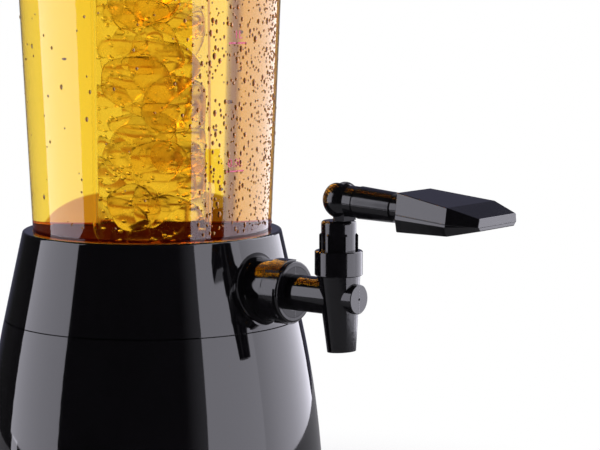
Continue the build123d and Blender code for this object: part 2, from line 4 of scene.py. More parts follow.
import bpy
import numpy as np
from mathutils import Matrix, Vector


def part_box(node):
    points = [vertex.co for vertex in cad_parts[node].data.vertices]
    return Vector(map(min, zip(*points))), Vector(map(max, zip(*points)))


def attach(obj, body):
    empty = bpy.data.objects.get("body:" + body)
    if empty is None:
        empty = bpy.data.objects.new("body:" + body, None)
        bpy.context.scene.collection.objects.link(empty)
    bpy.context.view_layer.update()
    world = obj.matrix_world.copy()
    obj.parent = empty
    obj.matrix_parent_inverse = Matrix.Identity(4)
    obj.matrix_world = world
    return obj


bl_info = {
    "name": "Beer Tower Dressing",
    "version": (1, 0, 0),
    "blender": (4, 5, 0),
    "location": "View3D > Sidebar > Beer Tower",
    "description": "Finishes, contents and studio for a table-top beer tower with a lever tap",
    "category": "Object",
}

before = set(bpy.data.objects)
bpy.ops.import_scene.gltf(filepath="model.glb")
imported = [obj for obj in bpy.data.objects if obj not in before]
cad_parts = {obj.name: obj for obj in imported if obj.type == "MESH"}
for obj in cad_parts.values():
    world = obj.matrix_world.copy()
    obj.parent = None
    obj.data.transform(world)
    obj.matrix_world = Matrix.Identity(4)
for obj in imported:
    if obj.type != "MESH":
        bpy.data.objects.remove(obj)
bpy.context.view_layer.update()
MM = 0.001
ORIGIN, ALONG_TAP, UPRIGHT = (0.0, 0.0, 0.0), (0.0, 1.0, 0.0), (0.0, 0.0, 1.0)
WHITE = (1.0, 1.0, 1.0, 1.0)

# The clear tube and the ice tube, read from their solids (metres). The tube loses its draft in radius for
# each length that it goes down. The ice tube is widest at a flange round its top.
TUBE_LOW, TUBE_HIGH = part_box("tube")
ICE_LOW, ICE_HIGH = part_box("ice_tube")
COLLAR_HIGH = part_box("reservoir_collar")[1]
TUBE_FOOT_Z, TUBE_TOP_Z = TUBE_LOW[2], TUBE_HIGH[2]
TUBE_TOP_R = TUBE_HIGH[0]
TUBE_DRAFT = 0.0431
TUBE_WALL = 2.8 * MM
ICE_FLANGE, ICE_WALL = 4.6 * MM, 1.5 * MM
ICE_BORE = ICE_HIGH[0] - ICE_FLANGE - ICE_WALL
RIM_Z = COLLAR_HIGH[2]

# The bowl in the collar, from the middle of its floor to its edge (radius, height), and the socket's floor
BOWL = [[0.0, 0.1603], [0.043, 0.1603], [0.0518, 0.1692]]
SOCKET_Z = 0.155

# The tap's axis runs along Y through the coupling nut, whose end lies in one plane with the tap's flange
NUT_LOW, NUT_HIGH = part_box("coupling_nut")
TAP_AXIS = (0.0, 0.0, 0.5 * (NUT_LOW[2] + NUT_HIGH[2]))
NUT_END = (NUT_LOW[1] - 0.15 * MM, NUT_LOW[1] + 0.15 * MM)
BEYOND_NUT = 20.0 * MM
BOSS_RADIUS = 14.05 * MM
SHANK_RADIUS = 8.35 * MM

# The lever: the shift and turn that bring the plane in which its tool parted to X = 0, and the neck below
# its head
LEVER_PARTING = ((-0.2163, 0.0, 0.0), (math.radians(-3.2), math.radians(90), 0.0))
LEVER_NECK_AXIS = (0.0, -0.1128, 0.0)
LEVER_NECK_RADIUS = 9.0 * MM
LEVER_NECK_Z = (0.19, 0.2055)

# Level marks: heights above the collar's rim, half a litre apart with the ice tube in
MARK_HEIGHTS = (31.7 * MM, 91.0 * MM, 147.0 * MM, 201.0 * MM, 252.0 * MM, 300.0 * MM)
MARK_HALF = 0.35 * MM
MARK_STEPS = 12
LETTER_SIZE, LETTER_LIFT = 5.4 * MM, 2.1 * MM
INK_THICKNESS = 0.04 * MM

# Condensation: middle and spread of the lanes in which it crowds (radians right of the camera), with a last
# column for the drops that stand anywhere, and the share of the large and of the fine drops in each lane
LANES = np.array([[0.49, 0.725, 0.86, 1.17, 0.0], [0.05, 0.03, 0.05, 0.075, 0.0]])
LARGE_SHARES, FINE_SHARES = [0.29, 0.17, 0.14, 0.3], [0.12, 0.06, 0.14, 0.54]
DROP_SINK = 0.04 * MM

# The camera: place, turn to the right of the tower's axis and tilt down (radians), lens and sensor (mm)
CAMERA_PLACE = Vector((-0.6681, -0.6015, 0.2957))
CAMERA_YAW, CAMERA_PITCH = 0.0803, 0.1156
CAMERA_LENS, CAMERA_SENSOR = 110.64, 36.0

# Directions seen from the tower's axis, with the camera's azimuth as zero and positive to its right
TO_CAMERA = np.array([CAMERA_PLACE[0], CAMERA_PLACE[1]]) / math.hypot(CAMERA_PLACE[0], CAMERA_PLACE[1])
TO_RIGHT = np.array([-TO_CAMERA[1], TO_CAMERA[0]])


def linear(code):
    """Linear RGB from an sRGB hex code."""
    part = np.array([int(code[i:i + 2], 16) for i in (1, 3, 5)]) / 255.0
    return tuple(np.where(part <= 0.04045, part / 12.92, ((part + 0.055) / 1.055) ** 2.4))


def tube_radius(z):
    """Outer radius of the tapered tube at height z: a straight line down from the lip."""
    return TUBE_TOP_R - TUBE_DRAFT * (TUBE_TOP_Z - z)


class TowerSizes(bpy.types.PropertyGroup):
    """Sizes of what is in and on the tube."""

    beer_level: bpy.props.FloatProperty(
        name="Beer Level", description="Height of the beer above the table", default=0.488, unit="LENGTH"
    )
    ice_size: bpy.props.FloatProperty(
        name="Ice Size", description="Half length of one large lump of ice", default=0.0140, unit="LENGTH"
    )
    ice_pitch: bpy.props.FloatProperty(
        name="Ice Pitch", description="Height from one large lump to the next", default=0.0046, unit="LENGTH"
    )
    ice_chips: bpy.props.IntProperty(
        name="Ice Chips", description="Small lumps between the large ones", default=90, min=0
    )
    bubble_count: bpy.props.IntProperty(
        name="Bubbles", description="Bubbles in the melt water of the ice tube", default=800, min=0
    )
    fine_drops: bpy.props.IntProperty(
        name="Fine Drops", description="Small drops of condensation on the tube", default=2400, min=0
    )
    large_drops: bpy.props.IntProperty(
        name="Large Drops", description="Drops that have begun to run", default=900, min=0
    )
    mark_width: bpy.props.FloatProperty(
        name="Mark Width", description="Length of one printed level line", default=0.0113, unit="LENGTH"
    )
    mark_turn: bpy.props.FloatProperty(
        name="Mark Turn", description="Azimuth of the printed scale to the right of the camera",
        default=math.radians(40.4), subtype="ANGLE"
    )


class TowerColours(bpy.types.PropertyGroup):
    """Colours of the finishes, in linear light."""

    gloss_black: bpy.props.FloatVectorProperty(
        name="Gloss Black", description="High-gloss mouldings of the base and lid",
        default=linear("#0B0A0C"), subtype="COLOR", min=0, max=1
    )
    tap_black: bpy.props.FloatVectorProperty(
        name="Tap Black", description="Satin mouldings of the tap", default=linear("#0D0C0E"),
        subtype="COLOR", min=0, max=1
    )
    beer: bpy.props.FloatVectorProperty(
        name="Beer", description="Light that the beer lets through", default=linear("#FBF1A2"),
        subtype="COLOR", min=0, max=1
    )
    print_pink: bpy.props.FloatVectorProperty(
        name="Scale Print", description="Ink of the level marks", default=linear("#B83E64"),
        subtype="COLOR", min=0, max=1
    )


def add(tree, kind, inputs=None, **settings):
    """Adds one node, with its settings, its socket values and its links."""
    made = tree.nodes.new(kind)
    for key, value in settings.items():
        setattr(made, key, value)
    for key, value in (inputs or {}).items():
        if isinstance(value, bpy.types.NodeSocket):
            tree.links.new(value, made.inputs[key])
        else:
            made.inputs[key].default_value = value
    return made


def blank(name):
    """A new material with an empty node tree and its output."""
    made = bpy.data.materials.new(name)
    made.use_nodes = True
    made.node_tree.nodes.clear()
    return made, made.node_tree, add(made.node_tree, "ShaderNodeOutputMaterial")


def ramp(tree, factor, *stops):
    """A colour ramp with grey or coloured stops (place, value)."""
    made = add(tree, "ShaderNodeValToRGB", {"Fac": factor})
    stripe = made.color_ramp.elements
    while len(stripe) < len(stops):
        stripe.new(1.0)
    for one, (place, value) in zip(stripe, stops):
        one.position = place
        one.color = (*value, 1.0) if isinstance(value, tuple) else (value, value, value, 1.0)
    return made.outputs["Color"]


def finish_nodes(material, *nodes):
    """Gives a finish to solids of the frame."""
    for name in nodes:
        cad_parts[name].data.materials.clear()
        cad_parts[name].data.materials.append(material)


def mesh_piece(name, points, faces, material, body, sharp=None):
    """A mesh object at the origin that rides on a body, smooth but for edges over an angle."""
    mesh = bpy.data.meshes.new(name)
    mesh.from_pydata(points.reshape(-1, 3), [], faces)
    mesh.polygons.foreach_set("use_smooth", np.ones(len(mesh.polygons), dtype=bool))
    if sharp is not None:
        mesh.set_sharp_from_angle(angle=sharp)
    mesh.materials.append(material)
    made = bpy.data.objects.new(name, mesh)
    bpy.context.scene.collection.objects.link(made)
    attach(made, body)
    return made


def strip_faces(rows, columns):
    """Quads between neighbouring rows of points that close on themselves, each column with the next."""
    here = np.arange(columns)
    there = np.roll(here, -1)
    base = columns * np.arange(rows - 1)[:, None]
    quads = np.stack([base + here, base + there, base + columns + there, base + columns + here], axis=-1)
    return quads.reshape(-1, 4)


def capped(rows, columns):
    """Faces of a closed form: quads between the rows and a fan at each end, to a point after the grid."""
    here = np.arange(columns)
    there = np.roll(here, -1)
    low, high = rows * columns, rows * columns + 1
    last = (rows - 1) * columns
    bottom = np.stack([np.full(columns, low), there, here], axis=-1)
    top = np.stack([np.full(columns, high), last + here, last + there], axis=-1)
    return strip_faces(rows, columns).tolist() + bottom.tolist() + top.tolist()


def ball(rows, columns):
    """Directions all round: rows of points at even angles from the pole, then the two poles."""
    polar = math.pi * (np.arange(rows) + 1) / (rows + 1)
    turn = 2 * math.pi * np.arange(columns) / columns
    grid = np.stack([
        np.outer(np.sin(polar), np.cos(turn)), np.outer(np.sin(polar), np.sin(turn)),
        np.outer(-np.cos(polar), np.ones(columns))
    ], axis=-1)
    return np.concatenate([grid.reshape(-1, 3), [[0, 0, -1], [0, 0, 1]]])


def many(faces, step, count):
    """Faces of a number of like forms whose points follow one another, step points each."""
    quads = np.array([f for f in faces if len(f) == 4])
    fans = np.array([f for f in faces if len(f) == 3])
    shift = step * np.arange(count)[:, None, None]
    return (quads + shift).reshape(-1, 4).tolist() + (fans + shift).reshape(-1, 3).tolist()


def turned(profile, columns=192):
    """Closed form of revolution: (radius, height) from bottom centre to top centre, turned about Z."""
    profile = np.asarray(profile, dtype=float)
    turn = 2 * math.pi * np.arange(columns) / columns
    side = profile[1:-1]
    grid = np.stack([
        side[:, :1] * np.cos(turn), side[:, :1] * np.sin(turn), np.repeat(side[:, 1:], columns, axis=1)
    ], axis=-1)
    ends = np.array([[0, 0, profile[0, 1]], [0, 0, profile[-1, 1]]])
    return np.concatenate([grid.reshape(-1, 3), ends]), capped(len(side), columns)


def azimuth(right_of_camera):
    """Angle about Z of a direction given as an angle to the right of the camera's azimuth."""
    across = np.cos(right_of_camera)[..., None] * TO_CAMERA + np.sin(right_of_camera)[..., None] * TO_RIGHT
    return np.arctan2(across[..., 1], across[..., 0])


def on_tube(turn, z, lift=0.0):
    """Point on the outside of the tube at an angle about Z and a height, lifted off by a distance."""
    r = tube_radius(z) + lift
    return np.stack([r * np.cos(turn), r * np.sin(turn), z], axis=-1)


def ring_zone(tree, place, middle, along, radii, reach):
    """1 in a ring about an axis of the frame through a point, between two radii and two places along the
    axis, and 0 elsewhere."""
    away = add(tree, "ShaderNodeVectorMath", {0: place, 1: middle}, operation="SUBTRACT").outputs[0]
    deep = add(tree, "ShaderNodeVectorMath", {0: away, 1: along}, operation="DOT_PRODUCT").outputs["Value"]
    aside = add(tree, "ShaderNodeVectorMath", {
        0: away, 1: tuple(1.0 - abs(a) for a in along)
    }, operation="MULTIPLY").outputs[0]
    far = add(tree, "ShaderNodeVectorMath", {0: aside}, operation="LENGTH").outputs["Value"]
    inside = [
        add(tree, "ShaderNodeMath", {
            0: value, 1: 0.5 * (low + high), 2: 0.5 * (high - low)
        }, operation="COMPARE").outputs[0]
        for value, (low, high) in ((far, radii), (deep, reach))
    ]
    return add(tree, "ShaderNodeMath", {0: inside[0], 1: inside[1]}, operation="MULTIPLY").outputs[0]


def black_moulding(name, colour, roughness, wave, parting=None, painted_shade=None, shine_left=0.06, glow=None):
    """ABS moulded black in a polished tool: a deep gloss over black, with faint tool waviness that bends its
    reflections and a haze of wiping marks that dulls the gloss here and there. A parting is the shift and
    turn that bring the plane where the halves of the tool met to X = 0. In a ring zone of painted shade the
    specular level falls from the usual 0.5 to shine_left, which darkens the reflections there. A glow zone is
    a painted glow: faint amber emission that stands in for light from the tube."""
    made, tree, out = blank(name)
    place = add(tree, "ShaderNodeTexCoord").outputs["Object"]
    # Wiping marks: patches 22 mm wide and about 60 mm high, with streaks down to under a millimetre in them
    wipe = add(tree, "ShaderNodeTexNoise", {
        "Vector": add(tree, "ShaderNodeMapping", {"Vector": place, "Scale": (1.0, 1.0, 0.35)}).outputs[0],
        "Scale": 1.0 / (22.222 * MM), "Detail": 5.0, "Roughness": 0.6,
    }).outputs[0]
    haze = add(tree, "ShaderNodeMapRange", {
        "Value": wipe, "From Min": 0.35, "From Max": 0.75, "To Min": roughness, "To Max": roughness * 1.8,
    }).outputs[0]
    tint = ramp(tree, wipe, (0.3, tuple(0.75 * c for c in colour)), (0.8, tuple(1.25 * c for c in colour)))
    # Waviness of the tool, 12.5 mm from crest to crest
    swell = add(tree, "ShaderNodeTexNoise", {
        "Vector": place, "Scale": 1.0 / (12.5 * MM), "Detail": 1.0
    }).outputs[0]
    bump = add(tree, "ShaderNodeBump", {"Height": swell, "Strength": wave, "Distance": 0.4 * MM}).outputs[0]
    if parting is not None:
        # Parting line: a ridge that is 0.12 mm wide at its top and 0.44 mm at its foot
        shift, turn = parting
        across = add(tree, "ShaderNodeMapping", {
            "Vector": place, "Location": shift, "Rotation": turn
        }, vector_type="POINT").outputs[0]
        away = add(tree, "ShaderNodeMath", {
            0: add(tree, "ShaderNodeSeparateXYZ", {0: across}).outputs["X"]
        }, operation="ABSOLUTE").outputs[0]
        ridge = add(tree, "ShaderNodeMapRange", {
            "Value": away, "From Min": 0.06 * MM, "From Max": 0.22 * MM, "To Min": 1.0, "To Max": 0.0
        }).outputs[0]
        bump = add(tree, "ShaderNodeBump", {
            "Height": ridge, "Strength": 0.6, "Distance": 0.2 * MM, "Normal": bump
        }).outputs[0]
    shade = add(tree, "ShaderNodeBsdfPrincipled", {
        "Base Color": tint, "Roughness": haze, "IOR": 1.53, "Normal": bump
    })
    # Painted shade: in the ring zone the specular level falls to shine_left, so the reflections darken there
    if painted_shade is not None:
        shine = add(tree, "ShaderNodeMapRange", {
            "Value": ring_zone(tree, place, *painted_shade), "To Min": 0.5, "To Max": shine_left
        }).outputs[0]
        tree.links.new(shine, shade.inputs["Specular IOR Level"])
    # Painted glow: faint amber emission in clouds over the ring zone, standing in for light from the tube
    if glow is not None:
        shade.inputs["Emission Color"].default_value = (*linear("#7A4F22"), 1.0)
        cloud = add(tree, "ShaderNodeMapRange", {
            "Value": wipe, "From Min": 0.35, "From Max": 0.65, "To Min": 0.35, "To Max": 1.0
        }).outputs[0]
        painted_glow_strength = add(tree, "ShaderNodeMath", {
            0: ring_zone(tree, place, *glow), 1: cloud
        }, operation="MULTIPLY").outputs[0]
        tree.links.new(painted_glow_strength, shade.inputs["Emission Strength"])
    tree.links.new(shade.outputs[0], out.inputs["Surface"])
    return made


def grained(name, dark, light, roughness, grain, depth, ior=1.5, metallic=0.0):
    """A surface with an even grain: colour and height follow one noise whose cells are grain wide."""
    made, tree, out = blank(name)
    place = add(tree, "ShaderNodeTexCoord").outputs["Object"]
    speck = add(tree, "ShaderNodeTexNoise", {
        "Vector": place, "Scale": 1.0 / grain, "Detail": 3.0, "Roughness": 0.6
    }).outputs[0]
    shade = add(tree, "ShaderNodeBsdfPrincipled", {
        "Base Color": ramp(tree, speck, (0.3, linear(dark)), (0.7, linear(light))),
        "Roughness": roughness, "IOR": ior, "Metallic": metallic,
        "Normal": add(tree, "ShaderNodeBump", {
            "Height": speck, "Strength": 0.5, "Distance": depth
        }).outputs[0],
    })
    tree.links.new(shade.outputs[0], out.inputs["Surface"])
    return made


def clear(name, ior, ripple, wavelength, tint="#FFFFFF"):
    """A clear solid with smooth faces: light goes straight in, and slow ripples bend it a little."""
    made, tree, out = blank(name)
    place = add(tree, "ShaderNodeTexCoord").outputs["Object"]
    swell = add(tree, "ShaderNodeTexNoise", {
        "Vector": place, "Scale": 1.0 / wavelength, "Detail": 1.0
    }).outputs[0]
    bump = add(tree, "ShaderNodeBump", {"Height": swell, "Strength": ripple, "Distance": 0.4 * MM})
    shade = add(tree, "ShaderNodeBsdfPrincipled", {
        "Base Color": (*linear(tint), 1.0), "Roughness": 0.0, "IOR": ior, "Transmission Weight": 1.0,
        "Normal": bump.outputs[0],
    })
    tree.links.new(shade.outputs[0], out.inputs["Surface"])
    return SimpleNamespace(material=made, tree=tree, out=out, place=place, bump=bump, shade=shade)


class TOWER_OT_mouldings(bpy.types.Operator):
    """Finish the black mouldings of the base, the lid and the tap"""

    bl_idname = "tower.mouldings"
    bl_label = "Black Mouldings"

    def execute(self, context):
        colours = context.scene.tower_colours
        gloss, satin = tuple(colours.gloss_black), tuple(colours.tap_black)
        finish_nodes(
            black_moulding("abs_moulded_high_gloss", gloss, 0.035, 0.03), "base_skirt", "lid", "ice_tube_cap"
        )
        # The collar has painted shade in the root of its boss, where its gloss is turned down. The socket and
        # the
        # bowl have a painted glow: faint amber emission that stands in for light that runs down in the tube's
        # wall and leaves at its foot.
        root = (TAP_AXIS, ALONG_TAP, (BOSS_RADIUS + 0.1 * MM, BOSS_RADIUS + 2.5 * MM), (-1.0, 0.0))
        socket = (ORIGIN, UPRIGHT, (0.0, tube_radius(RIM_Z) + 0.8 * MM), (SOCKET_Z, RIM_Z - 0.3 * MM))
        collar = black_moulding("abs_moulded_collar", gloss, 0.035, 0.03, painted_shade=root, glow=socket)
        finish_nodes(collar, "reservoir_collar")
        # The nut's end and the tap's flange in it have painted shade: their gloss is turned down, but they
        # still mirror the shank
        flange = (TAP_AXIS, ALONG_TAP, (SHANK_RADIUS + 0.2 * MM, BEYOND_NUT), NUT_END)
        finish_nodes(black_moulding(
            "abs_moulded_tap", satin, 0.09, 0.06, parting=(ORIGIN, ORIGIN), painted_shade=flange, shine_left=0.19
        ), "tap_body")
        end = (TAP_AXIS, ALONG_TAP, (0.0, BEYOND_NUT), NUT_END)
        finish_nodes(
            black_moulding("abs_moulded_nut", satin, 0.14, 0.06, painted_shade=end, shine_left=0.32), "coupling_nut"
        )
        finish_nodes(black_moulding("abs_moulded_bonnet", satin, 0.09, 0.06), "bonnet")
        # The lever's halves met in a plane along it, 1 mm below its middle. It has painted shade under its
        # head, where its gloss is turned down.
        neck = (LEVER_NECK_AXIS, UPRIGHT, (0.0, LEVER_NECK_RADIUS), LEVER_NECK_Z)
        finish_nodes(
            black_moulding("abs_moulded_lever", satin, 0.12, 0.06, parting=LEVER_PARTING, painted_shade=neck), "lever"
        )
        return {"FINISHED"}


class TOWER_OT_fittings(bpy.types.Operator):
    """Finish the cover, the feet, the seals and the metal pieces"""

    bl_idname = "tower.fittings"
    bl_label = "Cover, Seals and Metal"

    def execute(self, context):
        # ABS from a spark-eroded tool: a matt, even sand grain, just under a millimetre wide
        cover = grained("abs_spark_eroded_cover", "#131314", "#1D1D1F", 0.55, 0.9 * MM, 0.08 * MM)
        finish_nodes(cover, "base_cover")
        # Moulded rubber: flat black with a bloom that greys it in specks and takes off nearly all shine
        rubber = grained("rubber_moulded_feet", "#161616", "#232323", 0.75, 1.2 * MM, 0.06 * MM)
        finish_nodes(rubber, *[f"rubber_foot_{i}" for i in range(1, 5)])
        # Moulded silicone: milky white, smooth and waxy, with soft highlights and slow swells
        silicone = grained("silicone_moulded_seal", "#CFCFCB", "#E2E2DE", 0.42, 4.0 * MM, 0.04 * MM, ior=1.41)
        finish_nodes(silicone, "tube_seal", "lid_seal", "tap_washer", "bonnet_seal", "seat_cup")
        # Moulded nitrile: black and half matt, with a fine grain
        nitrile = grained("nitrile_o_ring", "#101010", "#1B1B1B", 0.5, 0.6 * MM, 0.03 * MM)
        finish_nodes(nitrile, "stem_o_ring")
        # Turned acetal: dense black with a slippery satin sheen, barely grained by the tool
        acetal = grained("acetal_turned", "#141415", "#202021", 0.35, 0.5 * MM, 0.02 * MM, ior=1.48)
        finish_nodes(acetal, "valve_stem", "gland_washer")
        # Drawn stainless steel: warm grey metal that mirrors in a blurred way, with fine specks from the die
        steel = grained(
            "stainless_steel_drawn", "#B7B6B2", "#D0CFCB", 0.28, 0.7 * MM, 0.02 * MM, metallic=1.0
        )
        finish_nodes(steel, "cover_screws", "collar_screws", "return_spring", "lever_pin")
        return {"FINISHED"}


class TOWER_OT_clear_tubes(bpy.types.Operator):
    """Finish the clear tube and the ice tube"""

    bl_idname = "tower.clear_tubes"
    bl_label = "Clear Tubes"

    def execute(self, context):
        # SAN moulded clear: polished inside and out, with slow ripples from the tool. Its inner face is wet
        # with beer and hardly shines, so the gloss is taken off where the beer stands.
        tube = clear("san_moulded_clear", 1.5, 0.02, 30.0 * MM, "#FDFEFE")
        tree, place, shade = tube.tree, tube.place, tube.shade
        height = add(tree, "ShaderNodeSeparateXYZ", {0: place}).outputs["Z"]
        flat = add(tree, "ShaderNodeVectorMath", {
            0: place, 1: (1.0, 1.0, 0.0)
        }, operation="MULTIPLY").outputs[0]
        far = add(tree, "ShaderNodeVectorMath", {0: flat}, operation="LENGTH").outputs["Value"]
        # Radius that a point's cone has at the table, which is largest on the outer face
        cone = add(tree, "ShaderNodeMath", {
            0: height, 1: -TUBE_DRAFT, 2: far
        }, operation="MULTIPLY_ADD").outputs[0]
        outer = add(tree, "ShaderNodeMath", {
            0: cone, 1: tube_radius(0.0) - 0.5 * TUBE_WALL
        }, operation="GREATER_THAN").outputs[0]
        dry = add(tree, "ShaderNodeMath", {
            0: height, 1: context.scene.tower_sizes.beer_level
        }, operation="GREATER_THAN").outputs[0]
        shiny = add(tree, "ShaderNodeMath", {0: outer, 1: dry}, operation="MAXIMUM").outputs[0]
        tree.links.new(shiny, shade.inputs["Specular Tint"])
        # A thread of amber water stands round its foot, on the rim
        thread = ring_zone(
            tree, place, ORIGIN, UPRIGHT, (0.0, 2.0 * TUBE_TOP_R), (TUBE_FOOT_Z - MM, RIM_Z + 1.3 * MM)
        )
        tint = add(tree, "ShaderNodeMixRGB", {
            "Fac": thread, "Color1": shade.inputs["Base Color"].default_value,
            "Color2": (*linear("#B4662C"), 1.0)
        }).outputs[0]
        tree.links.new(tint, shade.inputs["Base Color"])
        finish_nodes(tube.material, "tube")
        # SAN too: the ice tube stands in the beer, so its faces bend light by the ratio of the two indices
        finish_nodes(clear("san_moulded_in_beer", 1.03, 0.02, 20.0 * MM, "#FCFDFD").material, "ice_tube")
        return {"FINISHED"}


class TOWER_OT_beer(bpy.types.Operator):
    """Fill the tube and the bowl with beer"""

    bl_idname = "tower.beer"
    bl_label = "Beer"

    def execute(self, context):
        colour, level = context.scene.tower_colours.beer, context.scene.tower_sizes.beer_level
        # Lager, filtered clear: it wets the wall, so only its level top has a shine of its own
        lager = clear("lager_clear", 1.34, 0.0, 50.0 * MM)
        height = add(lager.tree, "ShaderNodeSeparateXYZ", {0: lager.place}).outputs["Z"]
        top = add(lager.tree, "ShaderNodeMath", {
            0: height, 1: level - 1.5 * MM
        }, operation="GREATER_THAN").outputs[0]
        lager.tree.links.new(top, lager.shade.inputs["Specular Tint"])
        # It takes in light at a rate of (1 - colour) for each 20 mm
        soak = add(lager.tree, "ShaderNodeVolumeAbsorption", {
            "Color": (*colour, 1.0), "Density": 1.0 / (20.0 * MM)
        })
        lager.tree.links.new(soak.outputs[0], lager.out.inputs["Volume"])
        # Profile: the bowl, the tube's inside and a level top that climbs 1 mm at the wall. The beer's skin
        # lies 0.3 mm deep in the wall, so that no air shows between them.
        foot, skin = TUBE_FOOT_Z + 0.4 * MM, 0.3 * MM
        z = np.linspace(foot, level, 40)
        side = np.stack([tube_radius(z) - TUBE_WALL + skin, z], axis=-1)
        rim = side[-1, 0]
        meniscus = [[rim - 3.0 * MM, level - 0.9 * MM], [rim - 6.0 * MM, level - MM], [0.0, level - MM]]
        points, faces = turned(np.concatenate([BOWL, [[BOWL[-1][0], foot]], side, meniscus]))
        mesh_piece("beer", points, faces, lager.material, "tower", math.radians(30))
        return {"FINISHED"}


class TOWER_OT_ice(bpy.types.Operator):
    """Fill the ice tube with lumps of ice and set bubbles on it"""

    bl_idname = "tower.ice"
    bl_label = "Ice"

    def execute(self, context):
        rng = np.random.default_rng(7)
        low, high = ICE_LOW[2] + 10.0 * MM, context.scene.tower_sizes.beer_level + 10.0 * MM
        self.lumps(context.scene.tower_sizes, rng, low, high)
        self.bubbles(context.scene.tower_sizes.bubble_count, rng, low, high - 12.0 * MM)
        return {"FINISHED"}

    def lumps(self, sizes, rng, low, high):
        """A column of lumps. A lump is a block with soft edges: along a direction u its skin is
        (sum of max(n.u / d, 0)^p)^(-1/p) over some faces with outward directions n at distances d. Lumps that
        lean on the wall flatten against it: r becomes r / (1 + (r / room)^q)^(1/q)."""
        rows, columns, sides, p, q = 13, 24, 14, 6.0, 24
        room = ICE_BORE - 0.3 * MM
        large = int((high - low) / sizes.ice_pitch)
        count = large + sizes.ice_chips
        size = np.where(np.arange(count) < large, sizes.ice_size, 0.5 * sizes.ice_size)
        size = size * rng.uniform(0.8, 1.15, count)
        unit = ball(rows, columns)
        way = rng.normal(size=(count, sides, 3))
        way /= np.linalg.norm(way, axis=-1, keepdims=True)
        reach = rng.uniform(0.72, 1.0, (count, sides, 1))
        lump = (np.maximum(way @ unit.T / reach, 0) ** p).sum(axis=1) ** (-1 / p)
        lump = unit[None] * np.minimum(lump, 1.25)[..., None] * size[:, None, None]
        # Each lump stands about a golden angle (2.4 radians) on from the last
        share = np.concatenate([rng.uniform(0.3, 0.88, large), np.sqrt(rng.uniform(0, 0.9, count - large))])
        around = 2.4 * np.arange(count)
        rise = np.concatenate([np.linspace(low, high, large), rng.uniform(low, high, count - large)])
        middle = np.stack([share * room * np.cos(around), share * room * np.sin(around), rise], axis=-1)
        lump += middle[:, None]
        r = np.hypot(lump[..., 0], lump[..., 1])
        lump[..., :2] *= (1 / (1 + (r / room) ** q) ** (1 / q))[..., None]
        lump[..., 2] = np.clip(lump[..., 2], ICE_LOW[2] + 4.0 * MM, ICE_HIGH[2] - 4.0 * MM)
        mesh_piece("ice_lumps", lump, many(capped(rows, columns), len(unit), count), self.ice(), "ice_core")

    def ice(self):
        """Ice frozen fast, in melt water: clear skin with cloudy patches that blur what is behind."""
        ice = clear("ice_cloudy_lump", 1.035, 0.5, 6.0 * MM)
        tree, place, shade = ice.tree, ice.place, ice.shade
        # Clouds about 8 mm wide
        cloud = add(tree, "ShaderNodeTexNoise", {
            "Vector": place, "Scale": 1.0 / (8.3333 * MM), "Detail": 3.0
        }).outputs[0]
        blur = add(tree, "ShaderNodeMapRange", {
            "Value": cloud, "From Min": 0.35, "From Max": 0.65, "To Min": 0.15, "To Max": 0.36
        }).outputs[0]
        tree.links.new(blur, shade.inputs["Roughness"])
        clarity = add(tree, "ShaderNodeMapRange", {
            "Value": cloud, "From Min": 0.45, "From Max": 0.7, "To Min": 1.0, "To Max": 0.97
        }).outputs[0]
        tree.links.new(clarity, shade.inputs["Transmission Weight"])
        # Beer that has seeped between the lumps tints patches about 15 mm wide
        seep = add(tree, "ShaderNodeTexNoise", {
            "Vector": place, "Scale": 1.0 / (15.1515 * MM), "Detail": 2.0
        }).outputs[0]
        honey = ramp(tree, seep, (0.42, linear("#FFFCF6")), (0.62, linear("#FCF3DF")))
        tree.links.new(honey, shade.inputs["Base Color"])
        # Chips gather at the foot of the column, so its skin is rougher there
        rough = add(tree, "ShaderNodeMapRange", {
            "Value": add(tree, "ShaderNodeSeparateXYZ", {0: place}).outputs["Z"],
            "From Min": RIM_Z, "From Max": RIM_Z + 35.0 * MM, "To Min": 1.0, "To Max": 0.5
        }).outputs[0]
        tree.links.new(rough, ice.bump.inputs["Strength"])
        return ice.material

    def bubbles(self, count, rng, low, high):
        """Bubbles in the melt water between the lumps: balls of air, which show as small rings."""
        rows, columns = 5, 8
        unit = ball(rows, columns)
        turn, z = rng.uniform(0, 2 * math.pi, count), rng.uniform(low, high, count)
        size = (0.5 + 0.9 * rng.beta(1.2, 2.4, count)) * MM
        r = (ICE_BORE - size - 0.05 * MM) * np.sqrt(rng.uniform(0.35, 1.0, count))
        middle = np.stack([r * np.cos(turn), r * np.sin(turn), z], axis=-1)
        bubble = middle[:, None] + unit[None] * size[:, None, None]
        air = clear("air_bubble", 0.76, 0.0, 10.0 * MM).material
        mesh_piece("ice_bubbles", bubble, many(capped(rows, columns), len(unit), count), air, "ice_core")


